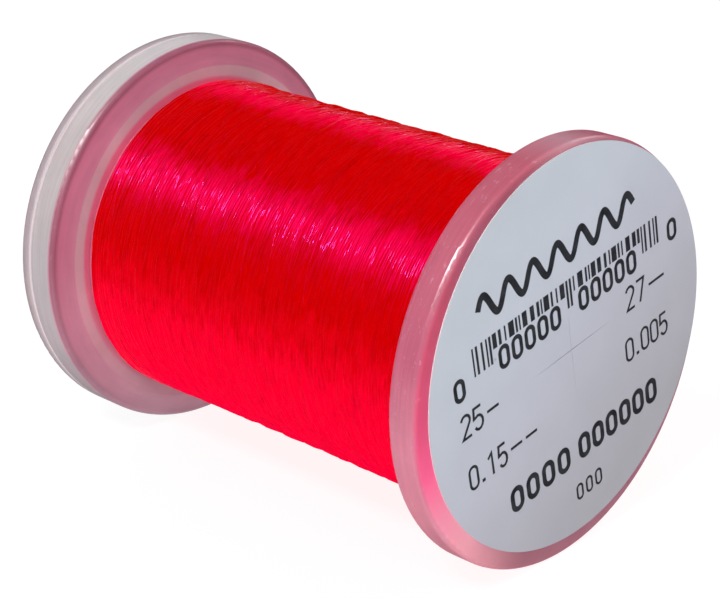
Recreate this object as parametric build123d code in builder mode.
"""A small translucent line spool for fly tying, lying on its two flanges and wound with 25 m of
0.15 mm mono line.  Millimetres.  The spool's axis is X with the labelled end at +X, Z is up, and
the origin is on the axis, half way between the two outer ends."""

from build123d import *
import math
import os

# Driving dimensions
LENGTH = 34.2  # between the two outer ends, label included
FLANGE_R = 13.0
FRONT_FLANGE_T = 2.0  # at the rim
REAR_FLANGE_T = 2.1  # at the rim
SNAP_DISC_T = 1.0
LABEL_T = 0.1
RIM_ROUND = 0.35
SEAM_ROUND = 0.12  # where the snap disc and the rear flange meet
ROUND_SLACK = 0.01  # leaves a rim fillet just short of its neighbour
BOSS_R = 11.4  # inside this radius a flange's inner face stands flat and proud
BOSS_RISE = 0.35
BARREL_R = 10.15
BARREL_WALL = 1.2
SPIGOT_WALL = 1.1
SPIGOT_LEN = 2.25
BORE_R = 3.75
HUB_WALL = 1.2
HUB_SEAT = 1.0  # how far the hub tube stands into the front flange
RIB_COUNT = 4
RIB_T = 1.0
RIB_CLEARANCE = 0.4  # between the ribs' ends and the spigot or the stem
BREAK_EDGE = 0.15  # small moulded edge break

# Snap disc: a stem with four fingers slides on the hub tube and clicks over a groove in it
SNAP_TRAVEL = 2.0
STEM_CLEARANCE = 0.05
STEM_WALL = 1.2
STEM_LEN = 5.1
FINGER_COUNT = 4
FINGER_SLOT = 1.0
FINGER_ROOT = 1.5  # the stem's solid length next to the disc
BEAD_LEN = 0.6
GROOVE_DEPTH = 0.25
STOP_CLEARANCE = 0.05
DISC_HOLE_R = 4.05
PINCH_R = 11.6  # outside this radius the disc is relieved, so that the line's end fits under it
PINCH_GAP = 0.2
RELIEF_R = (9.3, 11.3)  # groove in the rear flange's outer face
RELIEF_DEPTH = 1.0
KEY_RING_R = (9.9, 10.7)  # stiffening ring on the disc, inside that groove
KEY_RING_H = 0.5

# Label
LABEL_R = 12.3
LABEL_OFFSET = (0.42, 0.36)  # along Y and Z: the label is stuck on a little off centre
SLIT_HALF = 3.8
SLIT_W = 0.06
PRINT_TURN = 12.0  # degrees about the spool's axis

# Line
LINE_D = 0.15
LINE_LENGTH = 25000.0
WINDING_END_R = 10.53
WINDING_MID_R = 10.42
WINDING_REAR_X = -12.75
WINDING_FRONT_X = 14.1
SHOULDER_LEN = 0.5
START_HOLE_X = 11.0
START_HOLE_R = 0.25
KNOT_R = 0.3
TAIL_OVER_WINDING = 0.11  # height of the line's middle over what it crosses
TAIL_OVER_RIM = 0.12
TAIL_LEAVES = (0.85, 0.15)  # where the tail starts and lifts off, from the winding's rear end
TAIL_OVER_SHOULDER = (0.3, 0.56)  # along the axis and outwards, beside the boss
TAIL_RIM_INSET = 0.15
TAIL_PINCH_DEPTH = 0.7  # how far the pinched line lies in from the rim

# Stations along the axis
label_face_x = LENGTH / 2
front_face_x = label_face_x - LABEL_T
front_rim_x = front_face_x - FRONT_FLANGE_T
front_boss_x = front_rim_x - BOSS_RISE
disc_face_x = -LENGTH / 2
rear_face_x = disc_face_x + SNAP_DISC_T
rear_rim_x = rear_face_x + REAR_FLANGE_T
rear_boss_x = rear_rim_x + BOSS_RISE

# Radii and lengths that follow
barrel_in_r = BARREL_R - BARREL_WALL
spigot_in_r = barrel_in_r - SPIGOT_WALL
hub_r = BORE_R + HUB_WALL
stem_in_r = hub_r + STEM_CLEARANCE
stem_r = stem_in_r + STEM_WALL
stem_tip_x = rear_face_x + STEM_LEN
groove_r = hub_r - GROOVE_DEPTH
bead_r = groove_r + STEM_CLEARANCE
groove_front_x = stem_tip_x + STOP_CLEARANCE
groove_rear_x = stem_tip_x - BEAD_LEN - SNAP_TRAVEL - 2 * STOP_CLEARANCE
hub_rear_x = rear_face_x + RIM_ROUND / 2


def rim_corners(sketch, *stations):
    """The corners of a profile that lie on the rim, at the given stations."""
    corners = sketch.vertices().filter_by(lambda v: abs(v.Y - FLANGE_R) < 1e-6)
    return [v for v in corners if any(abs(v.X - x) < 1e-6 for x in stations)]


def around(x, radius, degrees):
    """A point at a radius from the spool's axis, turned about it from +Y towards +Z."""
    turn = math.radians(degrees)
    return (x, radius * math.cos(turn), radius * math.sin(turn))


os.makedirs("parts", exist_ok=True)

# ---- Front flange: a disc with a raised boss, and a spigot that presses into the barrel
with BuildPart() as front_flange:
    with BuildSketch(Plane.XY) as front_profile:
        with BuildLine():
            Polyline(
                (front_face_x, BORE_R),
                (front_face_x, FLANGE_R),
                (front_rim_x, FLANGE_R),
                (front_rim_x, FLANGE_R - RIM_ROUND),
                (front_boss_x, BOSS_R),
                (front_boss_x, barrel_in_r),
                (front_boss_x - SPIGOT_LEN, barrel_in_r),
                (front_boss_x - SPIGOT_LEN, spigot_in_r),
                (front_boss_x, spigot_in_r),
                (front_boss_x, hub_r),
                (front_boss_x + HUB_SEAT, hub_r),
                (front_boss_x + HUB_SEAT, BORE_R),
                close=True,
            )
        make_face()
        fillet(rim_corners(front_profile, front_face_x, front_rim_x), RIM_ROUND - ROUND_SLACK)
    revolve(axis=Axis.X)
front_flange.part.label = "front_flange"
export_step(front_flange.part, "parts/front_flange.step")

# ---- Core: the barrel that carries the line, and the hub tube held inside it by four ribs
with BuildPart() as core:
    with BuildSketch(Plane.XY):
        with BuildLine():
            Polyline(
                (rear_boss_x, barrel_in_r),
                (rear_boss_x, BARREL_R),
                (front_boss_x, BARREL_R),
                (front_boss_x, barrel_in_r),
                close=True,
            )
        make_face()
        with BuildLine():
            Polyline(
                (hub_rear_x, BORE_R),
                (hub_rear_x, hub_r - BREAK_EDGE),
                (hub_rear_x + BREAK_EDGE, hub_r),
                (groove_rear_x, hub_r),
                (groove_rear_x, groove_r),
                (groove_front_x, groove_r),
                (groove_front_x, hub_r),
                (front_boss_x + HUB_SEAT, hub_r),
                (front_boss_x + HUB_SEAT, BORE_R),
                close=True,
            )
        make_face()
    revolve(axis=Axis.X)
    rib_rear_x = stem_tip_x + RIB_CLEARANCE
    rib_front_x = front_boss_x - SPIGOT_LEN - RIB_CLEARANCE
    with BuildSketch(Plane.YZ.offset(rib_rear_x)):
        rib_radius = (barrel_in_r + hub_r) / 2
        rib_height = barrel_in_r - hub_r + BARREL_WALL
        with PolarLocations(rib_radius, RIB_COUNT, start_angle=45):
            Rectangle(rib_height, RIB_T)
    extrude(amount=rib_front_x - rib_rear_x)
    # The line's start goes in through this hole and is knotted inside
    with BuildSketch(Plane.XY.offset(rib_radius)):
        with Locations((START_HOLE_X, 0)):
            Circle(START_HOLE_R)
    extrude(amount=BARREL_R, mode=Mode.SUBTRACT)
core.part.label = "core"
export_step(core.part, "parts/core.step")

# ---- Rear flange: a ring with the same boss and spigot, open in the middle for the snap disc
with BuildPart() as rear_flange:
    with BuildSketch(Plane.XY) as rear_profile:
        with BuildLine():
            Polyline(
                (rear_face_x, spigot_in_r),
                (rear_face_x, RELIEF_R[0]),
                (rear_face_x + RELIEF_DEPTH, RELIEF_R[0]),
                (rear_face_x + RELIEF_DEPTH, RELIEF_R[1]),
                (rear_face_x, RELIEF_R[1]),
                (rear_face_x, FLANGE_R),
                (rear_rim_x, FLANGE_R),
                (rear_rim_x, FLANGE_R - RIM_ROUND),
                (rear_boss_x, BOSS_R),
                (rear_boss_x, barrel_in_r),
                (rear_boss_x + SPIGOT_LEN, barrel_in_r),
                (rear_boss_x + SPIGOT_LEN, spigot_in_r),
                close=True,
            )
        make_face()
        fillet(rim_corners(rear_profile, rear_rim_x), RIM_ROUND - ROUND_SLACK)
        fillet(rim_corners(rear_profile, rear_face_x), SEAM_ROUND)
    revolve(axis=Axis.X)
rear_flange.part.label = "rear_flange"
export_step(rear_flange.part, "parts/rear_flange.step")

# ---- Snap disc: pulled out it opens a gap for the line's end, pushed home it holds it
with BuildPart() as snap_disc:
    with BuildSketch(Plane.XY) as disc_profile:
        with BuildLine():
            Polyline(
                (disc_face_x, DISC_HOLE_R),
                (disc_face_x, FLANGE_R),
                (rear_face_x - PINCH_GAP, FLANGE_R),
                (rear_face_x - PINCH_GAP, PINCH_R),
                (rear_face_x, PINCH_R - PINCH_GAP),
                (rear_face_x, KEY_RING_R[1]),
                (rear_face_x + KEY_RING_H, KEY_RING_R[1]),
                (rear_face_x + KEY_RING_H, KEY_RING_R[0]),
                (rear_face_x, KEY_RING_R[0]),
                (rear_face_x, stem_r),
                (stem_tip_x, stem_r),
                (stem_tip_x, bead_r),
                (stem_tip_x - BEAD_LEN, bead_r),
                (stem_tip_x - BEAD_LEN, stem_in_r),
                (rear_face_x, stem_in_r),
                (rear_face_x, DISC_HOLE_R),
                close=True,
            )
        make_face()
        fillet(rim_corners(disc_profile, disc_face_x), RIM_ROUND)
        fillet(rim_corners(disc_profile, rear_face_x - PINCH_GAP), SEAM_ROUND)
    revolve(axis=Axis.X)
    with BuildSketch(Plane.YZ.offset(rear_face_x + FINGER_ROOT)):
        with PolarLocations(stem_r, FINGER_COUNT):
            Rectangle(3 * STEM_WALL, FINGER_SLOT)
    extrude(amount=STEM_LEN, mode=Mode.SUBTRACT)
snap_disc.part.label = "snap_disc"
export_step(snap_disc.part, "parts/snap_disc.step")

# ---- Front label: a paper disc over the front end, die cut with a cross over the hub's bore
with BuildPart() as front_label:
    with BuildSketch(Plane.YZ.offset(front_face_x)):
        with Locations(LABEL_OFFSET):
            Circle(LABEL_R)
            Rectangle(2 * SLIT_HALF, SLIT_W, rotation=PRINT_TURN, mode=Mode.SUBTRACT)
            Rectangle(SLIT_W, 2 * SLIT_HALF, rotation=PRINT_TURN, mode=Mode.SUBTRACT)
    extrude(amount=LABEL_T)
front_label.part.label = "front_label"
export_step(front_label.part, "parts/front_label.step")

# ---- Line winding: about two layers of line, a little thicker at both ends than in the middle
with BuildPart() as line_winding:
    with BuildSketch(Plane.XY):
        with BuildLine():
            foot_rear = (WINDING_REAR_X - SHOULDER_LEN, BARREL_R)
            foot_front = (WINDING_FRONT_X + SHOULDER_LEN / 2, BARREL_R)
            top_rear = (WINDING_REAR_X, WINDING_END_R)
            top_front = (WINDING_FRONT_X, WINDING_END_R)
            top_mid = ((WINDING_REAR_X + WINDING_FRONT_X) / 2, WINDING_MID_R)
            Line(foot_rear, top_rear)
            ThreePointArc(top_rear, top_mid, top_front)
            Line(top_front, foot_front)
            Line(foot_front, foot_rear)
        make_face()
    revolve(axis=Axis.X)
line_winding.part.label = "line_winding"
export_step(line_winding.part, "parts/line_winding.step")

# ---- Line start: down through the hole in the barrel to a knot inside it
knot_z = barrel_in_r - KNOT_R
with BuildPart() as line_start:
    with BuildSketch(Plane.XY.offset(knot_z)):
        with Locations((START_HOLE_X, 0)):
            Circle(LINE_D / 2)
    extrude(amount=BARREL_R - knot_z)
    with Locations((START_HOLE_X, 0, knot_z)):
        Sphere(KNOT_R)
line_start.part.label = "line_start"
export_step(line_start.part, "parts/line_start.step")

# ---- Line tail: from the last turn over the rear flange's rim and round under the snap disc
over_winding_r = WINDING_END_R + TAIL_OVER_WINDING
over_shoulder_r = over_winding_r + TAIL_OVER_SHOULDER[1]
over_rim_r = FLANGE_R + TAIL_OVER_RIM
pinch_x = rear_face_x - PINCH_GAP / 2
pinch_r = FLANGE_R - TAIL_PINCH_DEPTH
tail_points = [
    around(WINDING_REAR_X + TAIL_LEAVES[0], over_winding_r, -20),
    around(WINDING_REAR_X + TAIL_LEAVES[1], over_winding_r, -26),
    around(rear_boss_x + TAIL_OVER_SHOULDER[0], over_shoulder_r, -31),
    around(rear_rim_x + TAIL_RIM_INSET, over_rim_r, -35),
    around(pinch_x, over_rim_r, -39),
    around(pinch_x, pinch_r, -44),
    around(pinch_x, pinch_r, -52),
    around(pinch_x, pinch_r, -60),
    around(pinch_x, pinch_r, -68),
]
tail_radii = [0.6, 0.6, 0.3, 0.3, 0.35, 0.8, 0.8]
with BuildPart() as line_tail:
    with BuildLine() as tail_path:
        FilletPolyline(*tail_points, radius=tail_radii)
    with BuildSketch(Plane(tail_path.line @ 0, z_dir=tail_path.line % 0)):
        Circle(LINE_D / 2)
    sweep(transition=Transition.RIGHT)
line_tail.part.label = "line_tail"
export_step(line_tail.part, "parts/line_tail.step")

# ---- Figures to compare: the tail's tube with its path, and the winding with 25 m of line
line_section = math.pi * (LINE_D / 2) ** 2
tail_length = tail_path.wires()[0].length
print("tail", round(tail_length, 2), "mm, smallest arc", min(tail_radii), "mm")
print("tail volume", round(line_tail.part.volume, 4), "section x length", round(line_section * tail_length, 4))
print("winding volume", round(line_winding.part.volume, 1), "line", round(LINE_LENGTH * line_section, 1))
